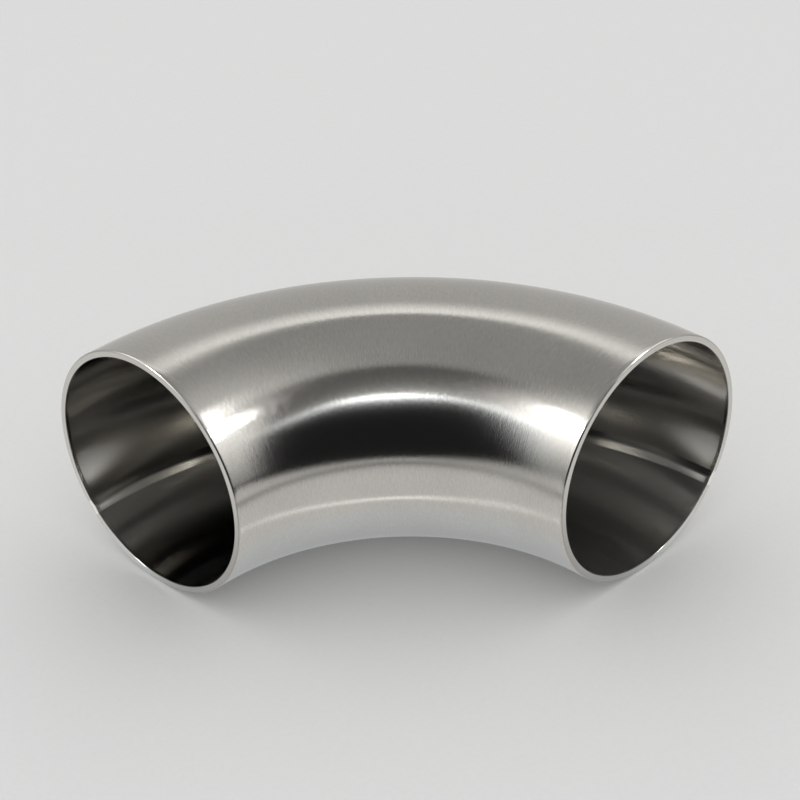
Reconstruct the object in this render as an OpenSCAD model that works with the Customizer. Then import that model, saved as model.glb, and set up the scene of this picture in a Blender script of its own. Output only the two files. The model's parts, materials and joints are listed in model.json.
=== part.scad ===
// Butt-weld pipe elbow, 90 degrees, of polished stainless tube.
// Origin: centre of weld end A. End A faces -X and end B faces -Y.
// The centre line lies in the XY plane and the bend's axis is along Z.
// Cross-sections are drawn with X pointing away from the bend's axis and Y up.

/* [Tube] */
// Outside diameter of the tube
tube_od = 53; // [40:0.5:60]
// Wall thickness of the tube
wall = 1.5; // [1:0.1:3]

/* [Bend] */
// Distance from each end face to the crossing point of the two centre lines
centre_to_end = 70; // [60:1:120]
// Straight length that is sized true to the tube at each end
land = 2; // [1:0.5:10]

/* [Seam weld] */
// Place of the seam round the tube: 0 is the outside of the bend, 90 the top
seam_clock = -40; // [-80:1:80]
// Width of the weld, along the wall
seam_w = 3; // [2:0.5:5]
// Height of the weld's crown above the bore
seam_crown = 0.25; // [0.25:0.05:0.6]

/* [Hidden] */

$fn = 96;
bend_angle = 90;
outer_r = tube_od / 2;
bore_r = outer_r - wall;
bend_r = centre_to_end - land;

// Half the angle that the weld takes up, seen from the tube's centre
seam_half_a = (seam_w / 2) / bore_r * 180 / PI;
// The crown is an arc through both edges of the weld on the bore
crown_half_w = bore_r * sin(seam_half_a);
crown_rise = seam_crown - bore_r * (1 - cos(seam_half_a));
crown_r = (crown_half_w * crown_half_w + crown_rise * crown_rise) / (2 * crown_rise);
crown_centre = bore_r - seam_crown + crown_r;
// The cutting wedge runs past the outside of the tube
wedge_len = 2 * outer_r;

// The whole wall of the tube, in cross-section
module wall_ring() {
    difference() {
        circle(r = outer_r);
        circle(r = bore_r);
    }
}

// The stretch of the cross-section that the weld takes up
module seam_wedge() {
    rotate(seam_clock)
        polygon([
            [0, 0],
            [wedge_len * cos(seam_half_a), -wedge_len * sin(seam_half_a)],
            [wedge_len * cos(seam_half_a), wedge_len * sin(seam_half_a)]
        ]);
}

// Everything on the wall's side of the crown's arc
module crown_disc() {
    rotate(seam_clock)
        translate([crown_centre, 0])
            circle(r = crown_r);
}

// Carries a cross-section along the centre line: land, bend, land
module along_centre_line() {
    rotate([90, 0, 90])
        linear_extrude(land)
            children();
    translate([land, -bend_r, 0])
        rotate_extrude(angle = bend_angle)
            translate([bend_r, 0])
                children();
    translate([centre_to_end, -bend_r, 0])
        rotate([90, 0, 0])
            linear_extrude(land)
                children();
}

// The formed strip: all of the wall but the weld
module tube_wall() {
    color("lightgray")
        along_centre_line()
            difference() {
                wall_ring();
                seam_wedge();
            }
}

// The longitudinal weld: flush outside, with a low crown inside
module seam_weld() {
    color("gainsboro")
        along_centre_line()
            intersection() {
                seam_wedge();
                circle(r = outer_r);
                crown_disc();
            }
}

tube_wall();
seam_weld();
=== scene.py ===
"""Polished stainless butt-weld elbow, lying flat on a pale floor in a small light tent.

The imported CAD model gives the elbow's sizes. Two pieces stand for its two nodes: the tube's wall
and the weld that closes it. Both are swept along the elbow's centre line with far finer facets
than the CAD mesh has, because a polished surface shows each facet, and with broken edges at the
ends.
"""

import json
import math

import bpy
import numpy as np
from mathutils import Matrix, Vector


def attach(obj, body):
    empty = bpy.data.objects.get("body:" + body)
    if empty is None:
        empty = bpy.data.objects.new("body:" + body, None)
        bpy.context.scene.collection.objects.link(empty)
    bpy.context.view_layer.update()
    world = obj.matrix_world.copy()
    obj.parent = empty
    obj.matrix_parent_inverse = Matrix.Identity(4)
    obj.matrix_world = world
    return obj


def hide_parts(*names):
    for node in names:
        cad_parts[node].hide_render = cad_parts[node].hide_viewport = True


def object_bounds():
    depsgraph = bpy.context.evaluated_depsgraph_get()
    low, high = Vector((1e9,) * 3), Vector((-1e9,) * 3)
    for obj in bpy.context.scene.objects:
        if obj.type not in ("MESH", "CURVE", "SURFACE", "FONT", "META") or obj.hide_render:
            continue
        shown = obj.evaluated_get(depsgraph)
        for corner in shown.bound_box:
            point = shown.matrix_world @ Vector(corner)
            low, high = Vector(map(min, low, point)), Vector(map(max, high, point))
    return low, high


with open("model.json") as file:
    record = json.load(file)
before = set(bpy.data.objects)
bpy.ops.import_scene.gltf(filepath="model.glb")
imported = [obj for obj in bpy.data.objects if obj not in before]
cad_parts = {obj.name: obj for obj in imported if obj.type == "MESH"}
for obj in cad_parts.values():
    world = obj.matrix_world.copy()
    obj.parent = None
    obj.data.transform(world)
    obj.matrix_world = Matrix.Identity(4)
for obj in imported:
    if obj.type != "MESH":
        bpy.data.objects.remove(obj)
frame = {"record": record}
cad_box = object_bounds()

MM = 0.001
UP = np.array([0.0, 0.0, 1.0])

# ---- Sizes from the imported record, in metres

mounts = {m["name"]: m for m in frame["record"]["mounts"]}
OUTER_R = mounts["weld_spigot_a"]["dims"]["r_mm"] * MM
LAND = mounts["weld_spigot_a"]["dims"]["length_mm"] * MM
MID_WALL_R = mounts["weld_face_a"]["pos_m"][2]
BORE_R = 2 * MID_WALL_R - OUTER_R
CENTRE_TO_END = mounts["weld_spigot_b"]["pos_m"][0]
BEND_R = CENTRE_TO_END - LAND
BEND_CENTRE = np.array([LAND, -BEND_R, 0.0])
BEND_LENGTH = BEND_R * math.pi / 2
PATH_LENGTH = 2 * LAND + BEND_LENGTH

# ---- Sizes that only the looks need

SEAM_CLOCK = math.radians(-42.8)        # 0 is the outside of the bend, 90 degrees its top
SEAM_DRIFT = math.radians(6.5)          # how far the weld has turned at end B
SEAM_HALF_WIDTH = 1.5 * MM
SEAM_HALF_ANGLE = SEAM_HALF_WIDTH / BORE_R
SEAM_CROWN = 0.235 * MM
SEAM_DROP = 0.31                        # the share of the crown that is gone at end B
SEAM_CREST = 0.12                       # how round the crest is, as a share of half the width
SKIN_INSET = 0.016 * MM                 # keeps the finer mesh inside the CAD mesh's box
OUTER_BREAK = 0.32 * MM                 # radii of the deburred edges
INNER_BREAK = 0.15 * MM
RIM_SHARES = (0.06, 0.5, 0.94)          # where the end face has rings, from outside to bore
EDGE_STEPS = 5                          # facets: round a broken edge, along the tube, and round
LENGTH_STEPS = 148                      # the wall and the weld
WALL_STEPS = 264
SEAM_STEPS = 26
WAVES = (                               # height, waves round the tube, along it, start
    (0.010 * MM, 3, 1.5, 0.7),
    (0.007 * MM, 5, -2.5, 2.1),
    (0.006 * MM, 2, 4.0, 4.0),
)
OUTSIDE, BORE, CUT_FACE = range(3)      # material slots of both pieces
UNROLLED = "unrolled"                   # the attribute with each point's place on a straight tube
GRAIN_MAP = "grain"                     # the UV map that the polish follows


# ---- The swept wall

def add_object(name, data):
    thing = bpy.data.objects.new(name, data)
    bpy.context.scene.collection.objects.link(thing)
    return thing


def centre_line(s):
    """Points of the centre line at lengths s, and the directions there away from the bend."""
    turn = np.clip((s - LAND) / BEND_R, 0, math.pi / 2)
    outward = np.stack([np.sin(turn), np.cos(turn), 0 * turn], -1)
    onward = np.stack([np.cos(turn), -np.sin(turn), 0 * turn], -1)
    beyond = np.minimum(s - LAND, 0) + np.maximum(s - LAND - BEND_LENGTH, 0)
    return BEND_CENTRE + BEND_R * outward + beyond[:, None] * onward, outward


def forming_waves(s, clock):
    """The shallow waves that forming leaves in the wall, never above 0, fading at the ends."""
    share = np.clip((s - LAND) / BEND_LENGTH, 0, 1)
    total = 0 * s
    for height, round_count, along_count, start in WAVES:
        angle = round_count * clock + 2 * math.pi * along_count * share + start
        total = total + height * (np.sin(angle) - 1)
    return np.sin(math.pi * share) * total


def surface_rows(edge):
    """Lengths of the rows of points along a surface, and how far each row is set into the wall.

    A quarter round of radius edge ends the surface at each end.
    """
    turn = np.linspace(0, math.pi / 2, EDGE_STEPS + 1)
    edge_rows = edge * (1 - np.cos(turn))
    edge_in = edge * (1 - np.sin(turn))
    middle = np.linspace(edge, PATH_LENGTH - edge, LENGTH_STEPS + 1)[1:-1]
    rows = np.concatenate([edge_rows, middle, PATH_LENGTH - edge_rows[::-1]])
    set_in = np.concatenate([edge_in, 0 * middle, edge_in[::-1]])
    return rows, set_in[:, None]


def sweep_wall(name, clocks, bore_radius):
    """A closed stretch of the tube's wall, between the first and the last clock angle.

    At each clock angle the wall's lengthwise section is one closed loop: along the outside,
    down the face of end B, back along the bore and up the face of end A.
    """
    outer_rows, outer_in = surface_rows(OUTER_BREAK)
    inner_rows, inner_in = surface_rows(INNER_BREAK)
    count = len(outer_rows)
    s, clock = np.meshgrid(outer_rows, clocks, indexing="ij")
    outer = OUTER_R - SKIN_INSET + forming_waves(s, clock) - outer_in
    s, clock = np.meshgrid(inner_rows, clocks, indexing="ij")
    inner = bore_radius(s, clock) + forming_waves(s, clock) + inner_in
    share = np.array(RIM_SHARES)[:, None]
    rim_b = outer[-1] + share * (inner[-1] - outer[-1])
    rim_a = outer[0] + share * (inner[0] - outer[0])
    radii = np.concatenate([outer, rim_b, inner[::-1], rim_a[::-1]])
    ring = np.ones(len(RIM_SHARES))
    lengths = np.concatenate([outer_rows, ring * PATH_LENGTH, inner_rows[::-1], 0 * ring])

    centre, outward = centre_line(lengths)
    drift = clocks + SEAM_DRIFT * (lengths / PATH_LENGTH)[:, None]
    spoke = np.cos(drift)[:, :, None] * outward[:, None] + np.sin(drift)[:, :, None] * UP
    points = centre[:, None] + radii[:, :, None] * spoke

    index = np.arange(radii.size).reshape(radii.shape)
    after = np.roll(index, -1, axis=0)
    skin = np.stack([index[:, :-1], after[:, :-1], after[:, 1:], index[:, 1:]], -1)
    sides = side_faces(index[:, 0], count) + [f[::-1] for f in side_faces(index[:, -1], count)]
    mesh = bpy.data.meshes.new(name)
    mesh.from_pydata(points.reshape(-1, 3).tolist(), [], skin.reshape(-1, 4).tolist() + sides)

    bore_start = count + len(ring)
    bore_end = bore_start + count - 1
    slots = np.full(len(lengths), OUTSIDE)
    slots[count - 1:bore_start] = CUT_FACE
    slots[bore_start:bore_end] = BORE
    slots[bore_end:] = CUT_FACE
    slots = np.repeat(slots, len(clocks) - 1).tolist() + [CUT_FACE] * len(sides)
    mesh.polygons.foreach_set("material_index", slots)
    mesh.polygons.foreach_set("use_smooth", [True] * len(mesh.polygons))

    along = np.repeat(lengths[:, None], len(clocks), 1)
    unrolled = np.stack([radii * np.cos(clocks), radii * np.sin(clocks), along], -1)
    attribute = mesh.attributes.new(UNROLLED, "FLOAT_VECTOR", "POINT")
    attribute.data.foreach_set("vector", unrolled.astype(np.float32).reshape(-1))
    unwrap(mesh, clocks, radii, lengths)
    mesh.update()
    sharpen_sides(mesh, index)
    return add_object(name, mesh)


def side_faces(loop, count):
    """Faces across the wall's thickness, at one side of the stretch."""
    loop = [int(v) for v in loop]
    last = 2 * count + len(RIM_SHARES) - 1
    faces = [
        [loop[k], loop[k + 1], loop[last - k - 1], loop[last - k]] for k in range(1, count - 2)
    ]
    faces.append(loop[count - 2:count + len(RIM_SHARES) + 2])
    faces.append([loop[0], loop[1], *loop[last - 1:]])
    return faces


def sharpen_sides(mesh, index):
    """Keeps the two sides of a stretch out of the smooth shading of its skin."""
    on_side = np.zeros(len(mesh.vertices), bool)
    on_side[index[:, 0]] = True
    on_side[index[:, -1]] = True
    column = np.zeros(len(mesh.vertices), int)
    column[index[:, -1]] = 1
    ends = np.empty(2 * len(mesh.edges), int)
    mesh.edges.foreach_get("vertices", ends)
    ends = ends.reshape(-1, 2)
    sharp = on_side[ends].all(1) & (column[ends[:, 0]] == column[ends[:, 1]])
    mesh.attributes.new("sharp_edge", "BOOLEAN", "EDGE").data.foreach_set("value", sharp)


def unwrap(mesh, clocks, radii, lengths):
    """A UV map with U round the tube and V along each section's loop, for the polish's grain."""
    depths = radii[:, 0]
    step = np.abs(np.diff(lengths, append=lengths[0])) + np.abs(np.diff(depths, append=depths[0]))
    along = np.concatenate([[0], np.cumsum(step)[:-1]])
    u = np.repeat((clocks * MID_WALL_R)[None, :], len(lengths), 0).reshape(-1)
    v = np.repeat(along[:, None], len(clocks), 1).reshape(-1)
    corner = np.empty(len(mesh.loops), int)
    mesh.loops.foreach_get("vertex_index", corner)
    layer = mesh.uv_layers.new(name=GRAIN_MAP)
    corner_uv = np.stack([u[corner], v[corner]], -1)
    layer.data.foreach_set("uv", corner_uv.astype(np.float32).reshape(-1))


def plain_bore(s, clock):
    """The bore's radius beside the weld, which is the same at every point."""
    return np.full(s.shape, BORE_R)


def weld_bore(s, clock):
    """The bore's radius over the weld: two even flanks that meet in a rounded crest."""
    across = (clock - SEAM_CLOCK) / SEAM_HALF_ANGLE
    crest = math.hypot(1, SEAM_CREST)
    swell = (crest - np.hypot(across, SEAM_CREST)) / (crest - SEAM_CREST)
    crown = SEAM_CROWN * (1 - SEAM_DROP * s / PATH_LENGTH)
    return BORE_R - np.maximum(swell, 0) * crown


def build_pieces():
    """The wall on both sides of the weld, all round, and the weld between."""
    half = SEAM_HALF_ANGLE
    wall_clocks = np.linspace(SEAM_CLOCK + half, SEAM_CLOCK + 2 * math.pi - half, WALL_STEPS + 1)
    weld_clocks = np.linspace(SEAM_CLOCK - half, SEAM_CLOCK + half, SEAM_STEPS + 1)
    wall = sweep_wall("polished_tube_wall", wall_clocks, plain_bore)
    weld = sweep_wall("polished_seam_weld", weld_clocks, weld_bore)
    return wall, weld


# ---- Materials

class Nodes:
    """Short calls for building a material's node tree."""

    def __init__(self, name):
        self.material = bpy.data.materials.new(name)
        self.material.use_nodes = True
        self.tree = self.material.node_tree
        self.shader = self.tree.nodes["Principled BSDF"]

    def add(self, kind, links=(), **values):
        node = self.tree.nodes.new(kind)
        for key, value in values.items():
            setattr(node, key, value)
        for socket, value in dict(links).items():
            self.put(node.inputs[socket], value)
        return node

    def put(self, socket, value):
        if isinstance(value, bpy.types.NodeSocket):
            self.tree.links.new(value, socket)
        else:
            socket.default_value = value

    def math(self, operation, *values):
        node = self.add("ShaderNodeMath", enumerate(values), operation=operation)
        return node.outputs[0]

    def set(self, socket, value):
        """Sets or links one of the shader's own sockets."""
        self.put(self.shader.inputs[socket], value)

    def product(self, first, *others):
        for other in others:
            first = self.math("MULTIPLY", first, other)
        return first

    def mix(self, share, low, high, blend="MIX"):
        """low where share is 0, and where it is 1 high, or low tinted with high."""
        links = {0: share, 6: low, 7: high}
        return self.add("ShaderNodeMix", links, data_type="RGBA", blend_type=blend).outputs[2]

    def noise(self, place, stretch, detail=2.0, roughness=0.5, scale=1.0):
        """Noise over the unrolled tube, with so many features a metre across, up and along."""
        scaled = self.add(
            "ShaderNodeVectorMath", {0: place, 1: stretch}, operation="MULTIPLY"
        ).outputs[0]
        links = {"Vector": scaled, "Scale": scale, "Detail": detail, "Roughness": roughness}
        return self.add("ShaderNodeTexNoise", links).outputs["Fac"]

    def spread(self, value, low, high):
        """value from 0 to 1 becomes low to high."""
        links = {"Value": value, "To Min": low, "To Max": high}
        return self.add("ShaderNodeMapRange", links).outputs["Result"]

    def fade(self, value, start, end):
        """0 at start and 1 at end, easing between."""
        backward = start > end
        links = {"Value": value, "From Min": min(start, end), "From Max": max(start, end),
                 "To Min": float(backward), "To Max": float(not backward)}
        ramp = self.add("ShaderNodeMapRange", links, interpolation_type="SMOOTHSTEP")
        return ramp.outputs["Result"]

    def bump(self, height, strength, depth):
        links = {"Height": height, "Strength": strength, "Distance": depth}
        self.set("Normal", self.add("ShaderNodeBump", links).outputs[0])


def unrolled_place(nodes):
    return nodes.add("ShaderNodeAttribute", attribute_name=UNROLLED).outputs["Vector"]


OUTSIDE_TONES = (0.42, 0.411, 0.394, 1), (0.67, 0.659, 0.634, 1)
ROUND_HAIRLINES = (900, 900, 4200)      # features a metre: few round the tube, many along it
ROUND_BANDS = (200, 200, 1500)
OUTSIDE_CLOUDS = (38, 38, 38)
CLOUD_SHARE, HAIRLINE_SHARE = 0.4, 0.6  # of the outside's shades
HAIRLINE_ROUGH = 0.105, 0.175
BAND_ROUGH = 0.015
BAND_HEIGHT = 0.5                       # beside the hairlines
HAIRLINE_DEPTH = 0.016 * MM


def polished_outside(name):
    """Bright polished steel with fine hairlines that run round the tube."""
    n = Nodes(name)
    place = unrolled_place(n)
    hairlines = n.noise(place, ROUND_HAIRLINES, detail=3.0, roughness=0.6)
    bands = n.noise(place, ROUND_BANDS)
    clouds = n.noise(place, OUTSIDE_CLOUDS, detail=3.0)
    cloud_shade = n.product(clouds, CLOUD_SHARE)
    shade = n.math("ADD", cloud_shade, n.product(hairlines, HAIRLINE_SHARE))
    n.set("Base Color", n.mix(shade, *OUTSIDE_TONES))
    n.set("Metallic", 1.0)
    band_rough = n.spread(bands, -BAND_ROUGH, BAND_ROUGH)
    n.set("Roughness", n.math("ADD", n.spread(hairlines, *HAIRLINE_ROUGH), band_rough))
    n.set("Anisotropic", 0.75)
    n.set("Anisotropic Rotation", 0.25)
    round_tube = n.add("ShaderNodeTangent", direction_type="UV_MAP", uv_map=GRAIN_MAP)
    n.set("Tangent", round_tube.outputs[0])
    n.bump(n.math("ADD", hairlines, n.product(bands, BAND_HEIGHT)), 1.0, HAIRLINE_DEPTH)
    return n.material


ALONG_HAIRLINES = (2400, 2400, 24)      # features a metre: many round the tube, few along it
BORE_CLOUDS = (60, 60, 30)
BORE_ROUGH = 0.08, 0.14
BORE_BUMP = 0.07
BORE_DEPTH = 0.02 * MM

# Where the bore's painted shades fade in, from and to. On the unrolled tube X points away from
# the bend's centre, Y points up, and Z is the length from end A.
NEAR_A = 50 * MM, 25 * MM
NEAR_B = PATH_LENGTH - 50 * MM, PATH_LENGTH - 25 * MM
AT_END_B = PATH_LENGTH - 11 * MM, PATH_LENGTH - 4 * MM
FROM_MIDDLE = 37 * MM, 33 * MM
OUTER_X = 12 * MM, 19 * MM
INNER_X = 10 * MM, 0
LOW_INNER_Y = -12 * MM, -18 * MM
HIGH_A_Y = -3 * MM, 3 * MM
HIGH_B_Y = 0, 4 * MM
# Painted shade on the strip above the weld: where it fades in and out, measured upwards from the
# middle of the weld.
SHADE_ABOVE_WELD_START = 0, 0.4 * MM                # measured upwards from the middle of the weld
SHADE_ABOVE_WELD_END = 6 * MM, 2.5 * MM
# Painted shade: darker steel high near end A, darker warm steel high near end B, and darker steel
# low on the bend's side near both ends.
HIGH_A_SHADE = (0.31, 0.295, 0.27, 1)
HIGH_B_SHADE = (0.86, 0.81, 0.74, 1)
LOW_INNER_SHADE = (0.6, 0.6, 0.6, 1)
CLEAR = (1, 1, 1, 1)

# Where the bore is a little matt, and how much of its metal shine is gone there
LOW_B_Y = -4 * MM, -12 * MM
TOP_B_Y = -5 * MM, -1 * MM
LOW_A_Y = -14 * MM, -18 * MM
LOW_A_X = 3 * MM, 12 * MM
DULL_B = 0.12
DULL_A = 0.07


def polished_bore(name, tones, outer_shade, middle_shade, end_shade, above_weld_shade):
    """Darker steel with a finer grain that runs along the tube, and painted shades that fade in.

    The shade arguments darken, as painted shade, the side away from the bend's centre, the middle
    of the length, end B and the strip that starts at the middle of the weld and goes up.
    """
    n = Nodes(name)
    place = unrolled_place(n)
    hairlines = n.noise(place, ALONG_HAIRLINES, detail=3.0, roughness=0.6)
    clouds = n.noise(place, BORE_CLOUDS, detail=3.0)
    x, y, z = n.add("ShaderNodeSeparateXYZ", {0: place}).outputs
    near_a, near_b = n.fade(z, *NEAR_A), n.fade(z, *NEAR_B)
    outer = n.fade(x, *OUTER_X)
    # Masks of painted shade: high near end A, high near end B, and low on the bend's side near the
    # ends.
    high_a = n.product(n.fade(y, *HIGH_A_Y), near_a, outer)
    high_b = n.product(n.fade(y, *HIGH_B_Y), near_b, outer)
    near_ends = n.math("ADD", near_a, near_b)
    low_inner = n.product(n.fade(y, *LOW_INNER_Y), n.fade(x, *INNER_X), near_ends)
    off_middle = n.math("ABSOLUTE", n.math("SUBTRACT", z, PATH_LENGTH / 2))
    middle = n.fade(off_middle, *FROM_MIDDLE)
    end_b = n.fade(z, *AT_END_B)
    seam_x, seam_y = math.cos(SEAM_CLOCK), math.sin(SEAM_CLOCK)
    above = n.math("SUBTRACT", n.product(y, seam_x), n.product(x, seam_y))
    # Painted shade on the strip that starts at the weld's middle line and goes up.
    above_weld_mask = n.product(n.fade(above, *SHADE_ABOVE_WELD_START), n.fade(above, *SHADE_ABOVE_WELD_END))
    color = n.mix(clouds, *tones)
    for share, tint in (
        (outer, outer_shade),
        (high_a, HIGH_A_SHADE),
        (high_b, HIGH_B_SHADE),
        (low_inner, LOW_INNER_SHADE),
        (middle, middle_shade),
        (end_b, end_shade),
        (above_weld_mask, above_weld_shade),
    ):
        color = n.mix(share, color, tint, "MULTIPLY")
    n.set("Base Color", color)
    low_b = n.product(n.fade(y, *LOW_B_Y), near_b)
    top_b = n.product(n.fade(y, *TOP_B_Y), near_b)
    low_a = n.product(n.fade(y, *LOW_A_Y), near_a, n.fade(x, *LOW_A_X))
    dull_b = n.product(n.math("ADD", low_b, top_b), DULL_B)
    dull = n.math("ADD", dull_b, n.product(low_a, DULL_A))
    n.set("Metallic", n.math("SUBTRACT", 1.0, dull))
    n.set("Roughness", n.spread(hairlines, *BORE_ROUGH))
    n.bump(hairlines, BORE_BUMP, BORE_DEPTH)
    return n.material


RINGS_PER_METRE = 9000
RING_ROUGH = 0.24, 0.38
RING_BUMP = 0.2
RING_DEPTH = 0.02 * MM


def faced_end(name, tones):
    """The cut ends: fine turned rings, a little matt."""
    n = Nodes(name)
    across = n.add(
        "ShaderNodeVectorMath", {0: unrolled_place(n), 1: (1, 1, 0)}, operation="MULTIPLY"
    ).outputs[0]
    radius = n.add("ShaderNodeVectorMath", {0: across}, operation="LENGTH").outputs["Value"]
    links = {"W": n.product(radius, RINGS_PER_METRE), "Scale": 1.0, "Detail": 2.0}
    rings = n.add("ShaderNodeTexNoise", links, noise_dimensions="1D").outputs["Fac"]
    n.set("Base Color", n.mix(rings, *tones))
    n.set("Metallic", 1.0)
    n.set("Roughness", n.spread(rings, *RING_ROUGH))
    n.bump(rings, RING_BUMP, RING_DEPTH)
    return n.material


PAPER_TONES = (0.78, 0.78, 0.775, 1), (0.82, 0.82, 0.815, 1)
PAPER_GRAIN = 900                       # features a metre


def pale_floor_paper():
    n = Nodes("pale_paper")
    place = n.add("ShaderNodeTexCoord").outputs["Object"]
    grain = n.noise(place, (1, 1, 1), scale=PAPER_GRAIN, detail=4.0)
    n.set("Base Color", n.mix(grain, *PAPER_TONES))
    n.set("Roughness", 0.75)
    n.set("Specular IOR Level", 0.25)
    return n.material


# ---- The object

wall, weld = build_pieces()
# The bore's steel, with painted shade on the side away from the bend and on the strip above the
# weld.
bore_steel = polished_bore(
    "bore_steel",
    tones=((0.49, 0.484, 0.468, 1), (0.57, 0.564, 0.546, 1)),
    outer_shade=(0.78, 0.78, 0.78, 1),
    middle_shade=CLEAR,
    end_shade=CLEAR,
    above_weld_shade=(0.72, 0.71, 0.69, 1),
)
# The weld's bore: brighter steel for a painted highlight along the weld, with painted shade in the
# middle of the length, at end B and on its upper flank.
bead_steel = polished_bore(
    "bore_bead",
    tones=((0.90, 0.90, 0.89, 1), (0.95, 0.95, 0.94, 1)),
    outer_shade=CLEAR,
    middle_shade=(0.28, 0.28, 0.28, 1),
    end_shade=(0.5, 0.5, 0.5, 1),
    above_weld_shade=(0.38, 0.38, 0.38, 1),
)
WALL_CUT_TONES = (0.60, 0.59, 0.57, 1), (0.72, 0.71, 0.69, 1)
# Brighter steel on the weld's cut face: a painted highlight where the weld meets each end.
WELD_CUT_HIGHLIGHT_TONES = (0.86, 0.85, 0.83, 1), (0.94, 0.93, 0.91, 1)
for piece, node, slot, bore_material, cut_tones in (
    (wall, "tube_wall", "polished_tube", bore_steel, WALL_CUT_TONES),
    (weld, "seam_weld", "weld_metal", bead_steel, WELD_CUT_HIGHLIGHT_TONES),
):
    piece.data.materials.append(polished_outside(f"{node}_outside"))
    piece.data.materials.append(bore_material)
    piece.data.materials.append(faced_end(f"{node}_cut_face", cut_tones))
    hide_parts(node)
    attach(piece, "root")

# ---- The stage: directions are worked out from the elbow's plane of symmetry

TO_CAMERA = Vector((-1, -1, 0)).normalized()
TO_RIGHT = Vector((1, -1, 0)).normalized()

# The camera, fitted to the two open ends and the outline
CAMERA_DISTANCE = 468.3 * MM
CAMERA_LENS = 115.73                    # focal length and sensor width, both in mm
SENSOR_WIDTH = 36
CLIP_START = 0.01
CAMERA_ELEVATION = math.radians(33.55)
CAMERA_TURN = math.radians(0.15)
CAMERA_ROLL = math.radians(-1.446)
AIM_RIGHT = 0.46 * MM
AIM_UP = 38.95 * MM

# The floor, the sky and the tent, in metres
FLOOR_SIZE = 6.0
SKY_LEVEL = 0.88
TENT_HALF_WIDTH = 0.34
TENT_FRONT = 0.12
TENT_BACK = 0.193
TENT_HEIGHT = 0.215
PANEL_STEPS = 96
GLOW = "glow"                           # the attribute with each panel's light
FLOOR_LIFT = 0.1 * MM                   # keeps the tent's floor panels clear of the floor
NEAR_FLOOR = (-0.065, -0.070, 0.130, 0.035)     # right, ahead, width, depth
GLINT_FLOOR = (-0.030, -0.035, 0.060, 0.018)
TENT_LAMPS = (                          # right, ahead, half width, half depth, glow
    (0.219, -0.031, 0.026, 0.025, 78.0),
    (0.152, -0.070, 0.037, 0.031, 4.6),
    (-0.237, -0.013, 0.026, 0.029, 78.0),
    (-0.272, 0.050, 0.050, 0.050, 3.0),
)
WARM_TINT = (1.0, 0.985, 0.95)
COOL_TINT = (0.965, 1.0, 1.01)


def stage_point(right, ahead, up):
    """A point so far to the camera's right, towards it and up from the floor under the bend."""
    base = Vector(BEND_CENTRE) + Vector((0, 0, cad_box[0].z))
    return base + TO_RIGHT * right + TO_CAMERA * ahead + Vector(UP) * up


def lay_floor():
    half = FLOOR_SIZE / 2
    corners = [stage_point(r * half, a * half, 0) for r, a in ((-1, 1), (1, 1), (1, -1), (-1, -1))]
    mesh = bpy.data.meshes.new("pale_floor")
    mesh.from_pydata([tuple(c) for c in corners], [], [tuple(range(len(corners)))])
    mesh.materials.append(pale_floor_paper())
    add_object("pale_floor", mesh)


def glowing_sheet(name):
    """A material that gives off the light of the mesh's glow attribute."""
    n = Nodes(name)
    n.tree.nodes.remove(n.shader)
    glow = n.add("ShaderNodeAttribute", attribute_name=GLOW).outputs["Color"]
    light = n.add("ShaderNodeEmission", {"Color": glow}).outputs[0]
    n.put(n.tree.nodes["Material Output"].inputs["Surface"], light)
    return n.material


def tent_panel(name, start, along, up, tone, tint):
    """A flat panel that only reflections see, so that it neither shades nor hides.

    start, along and up are in the stage's (right, ahead, up), and tone gives the glow there.
    """
    count = PANEL_STEPS + 1
    a, b = np.meshgrid(np.linspace(0, 1, count), np.linspace(0, 1, count), indexing="ij")
    a, b = a.reshape(-1, 1), b.reshape(-1, 1)
    places = np.array(start) + a * np.array(along) + b * np.array(up)
    index = np.arange(count * count).reshape(count, count)
    faces = np.stack([index[:-1, :-1], index[1:, :-1], index[1:, 1:], index[:-1, 1:]], -1)
    mesh = bpy.data.meshes.new(name)
    mesh.from_pydata([stage_point(*p) for p in places.tolist()], [], faces.reshape(-1, 4).tolist())
    glow = tone(*places.T)
    level = np.stack([glow * part for part in tint] + [1 + 0 * glow], -1).astype(np.float32)
    mesh.attributes.new(GLOW, "FLOAT_COLOR", "POINT").data.foreach_set("color", level.reshape(-1))
    mesh.materials.append(glowing_sheet(name))
    panel = add_object(name, mesh)
    panel.visible_camera = False
    panel.visible_diffuse = False
    panel.visible_shadow = False
    panel.visible_transmission = False


def ease(x):
    x = np.clip(x, 0, 1)
    return x * x * (3 - 2 * x)


def rise(x, start, width):
    """0 up to start and 1 from so far beyond it."""
    return ease((x - start) / width)


def edge(x, middle, soft):
    """0 before middle and 1 after it, with an edge so soft."""
    return ease((x - middle) / soft + 0.5)


def between(x, low, high, low_soft, high_soft):
    """1 between low and high and 0 outside, with edges so soft."""
    return edge(x, low, low_soft) * edge(-x, -high, high_soft)


def hump(x, middle, width):
    return np.exp(-(((x - middle) / width) ** 2))


def front_tone(right, ahead, up):
    """A dark opening that the camera looks through, under a strip of lamps."""
    opening = 0.017
    left_edge = 0.60 * up - 0.285
    left_side = (0.46 + 4.4 * up) * edge(left_edge - right, 0, 0.19)
    right_side = (0.16 + 8 * np.maximum(up - 0.1, 0)) * rise(right, 0.255, 0.09)
    strip_height = 0.201 - 0.035 * right
    strip_blur = np.exp(-np.abs(up - strip_height) / 0.011)
    strip = 1.9 * between(right, -0.30, 0.23, 0.10, 0.12)
    middle_lamp = 4.2 * hump(right, 0.012, 0.050)
    return opening + left_side + right_side + strip_blur * (strip + middle_lamp)


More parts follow.
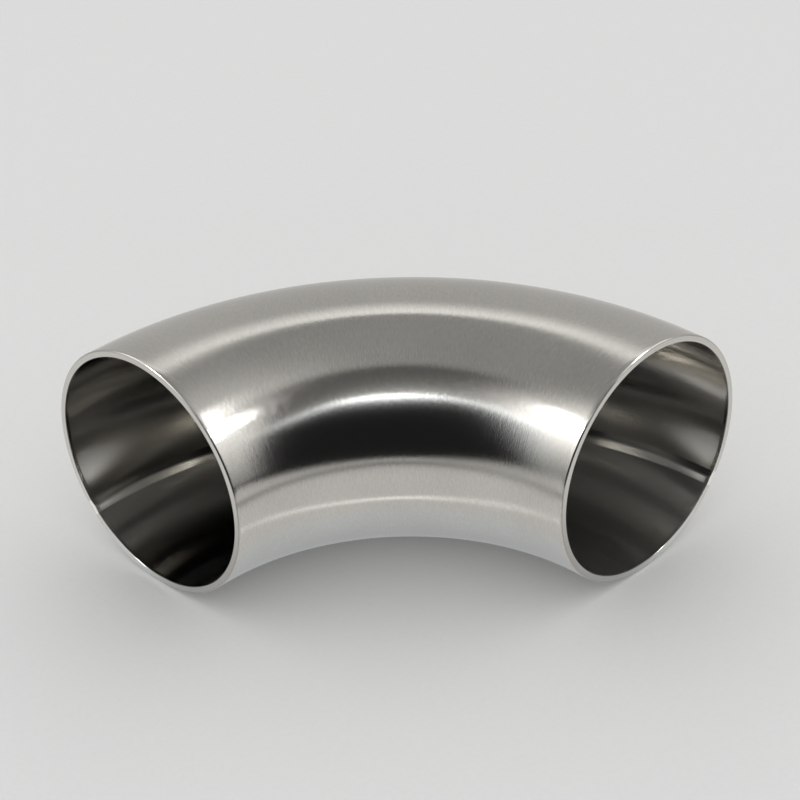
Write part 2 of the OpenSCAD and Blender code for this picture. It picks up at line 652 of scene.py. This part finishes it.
def roof_tone(right, ahead, up):
    """A pale roof with a dim hatch over the opening, light along its back edge, and lamps."""
    middle = 0.37
    right_side = 0.36 * rise(right, 0, 0.09) + 0.62 * rise(right, 0.12, 0.08)
    left_side = 1.30 * rise(-right, 0.075, 0.135)
    back_edge = 0.9 * rise(-ahead, 0.167, 0.006)
    roof = middle + right_side + left_side + back_edge
    hatch_right = 0.12 + 1.5 * np.maximum(ahead - 0.015, 0)
    hatch = between(right, -0.075, hatch_right, 0.04, 0.12) * edge(ahead, 0.008, 0.02)
    front_glow = 0.75 * np.exp((ahead - TENT_FRONT) / 0.03) * (1 - 0.85 * rise(right, -0.02, 0.15))
    under_hatch = 0.10 + front_glow
    level = roof * (1 - hatch) + under_hatch * hatch
    for lamp_right, lamp_ahead, half_wide, half_deep, glow in TENT_LAMPS:
        out = ((right - lamp_right) / half_wide) ** 2 + ((ahead - lamp_ahead) / half_deep) ** 2
        level = level + glow * np.exp(-out ** 2)
    right_halo = 0.6 * hump(right, 0.22, 0.08) * hump(ahead, -0.03, 0.06)
    return level + right_halo


def left_tone(right, ahead, up):
    at_floor = 0.42
    return at_floor + 2.0 * up + 30 * up ** 2


def right_tone(right, ahead, up):
    at_floor = 0.36
    return at_floor + 4.2 * up


def back_tone(right, ahead, up):
    at_floor, more_at_top = 0.58, 0.6
    return at_floor + more_at_top * rise(up, 0.15, 0.07)


def floor_tone(right, ahead, up):
    """Painted light of the floor for reflections: it darkens to its sides and to the front right,
    with a painted shadow where the tube meets it.
    """
    behind = 0.78
    to_front = 3.2 * np.maximum(ahead - 0.01, 0)
    to_sides = 0.55 * np.abs(right + 0.01)
    front_right = 0.85 * rise(ahead + right / 2, 0.11, 0.07)
    # Painted shadow of the tube on the floor.
    contact_shadow = 0.34 * hump(np.hypot(right, ahead), BEND_R - 0.008, 0.014)
    return (behind - to_front - to_sides) * (1 - front_right) - contact_shadow


def floor_glint_tone(right, ahead, up):
    """The floor with a small bright patch, which the throat mirrors as its glint."""
    patch = 0.9 * hump(right, 0, 0.0030) + 0.1 * hump(right, 0, 0.012)
    return floor_tone(right, ahead, up) + patch * hump(ahead, -0.0255, 0.0012)


def hang_tent():
    """The tent as the steel sees it: an open front under a strip of lamps, and bright sides."""
    left, right, front, back = -TENT_HALF_WIDTH, TENT_HALF_WIDTH, TENT_FRONT, -TENT_BACK
    wide, deep, high = (right - left, 0, 0), (0, front - back, 0), (0, 0, TENT_HEIGHT)
    tent_panel("tent_front", (left, front, 0), wide, high, front_tone, COOL_TINT)
    tent_panel("tent_back", (left, back, 0), wide, high, back_tone, WARM_TINT)
    tent_panel("tent_left", (left, back, 0), deep, high, left_tone, WARM_TINT)
    tent_panel("tent_right", (right, back, 0), deep, high, right_tone, WARM_TINT)
    tent_panel("tent_roof", (left, back, TENT_HEIGHT), wide, deep, roof_tone, WARM_TINT)
    # The floor panels glow with painted floor light for reflections only; the near panel's cool
    # tint is painted shade close to the tube.
    tent_panel("tent_floor", (left, back, FLOOR_LIFT), wide, deep, floor_tone, WARM_TINT)
    for name, (start_right, start_ahead, width, depth), tone, tint in (
        ("tent_floor_near", NEAR_FLOOR, floor_tone, COOL_TINT),
        ("tent_floor_glint", GLINT_FLOOR, floor_glint_tone, WARM_TINT),
    ):
        start = (start_right, start_ahead, 2 * FLOOR_LIFT)
        tent_panel(name, start, (width, 0, 0), (0, depth, 0), tone, tint)


def paint_sky():
    """Even soft light from all round for whatever is matt."""
    world = bpy.data.worlds.new("soft_light")
    bpy.context.scene.world = world
    world.use_nodes = True
    background = world.node_tree.nodes["Background"]
    background.inputs["Color"].default_value = (1, 1, 1, 1)
    background.inputs["Strength"].default_value = SKY_LEVEL


def place_camera():
    back = TO_CAMERA * math.cos(CAMERA_ELEVATION) + Vector(UP) * math.sin(CAMERA_ELEVATION)
    turn = Matrix.Rotation(-CAMERA_TURN, 3, "Z")
    back = turn @ back
    right = turn @ TO_RIGHT
    up = back.cross(right)
    place = Vector(BEND_CENTRE) + right * AIM_RIGHT + up * AIM_UP + back * CAMERA_DISTANCE
    roll = Matrix.Rotation(CAMERA_ROLL, 3, back)
    axes = [roll @ right, roll @ up, back]
    camera = add_object("camera", bpy.data.cameras.new("camera"))
    camera.data.sensor_width = SENSOR_WIDTH
    camera.data.lens = CAMERA_LENS
    camera.data.clip_start = CLIP_START
    camera.matrix_world = Matrix([[*row, p] for row, p in zip(zip(*axes), place)] + [[0, 0, 0, 1]])
    bpy.context.scene.camera = camera


lay_floor()
hang_tent()
paint_sky()
place_camera()
bpy.context.scene.view_settings.view_transform = "Standard"
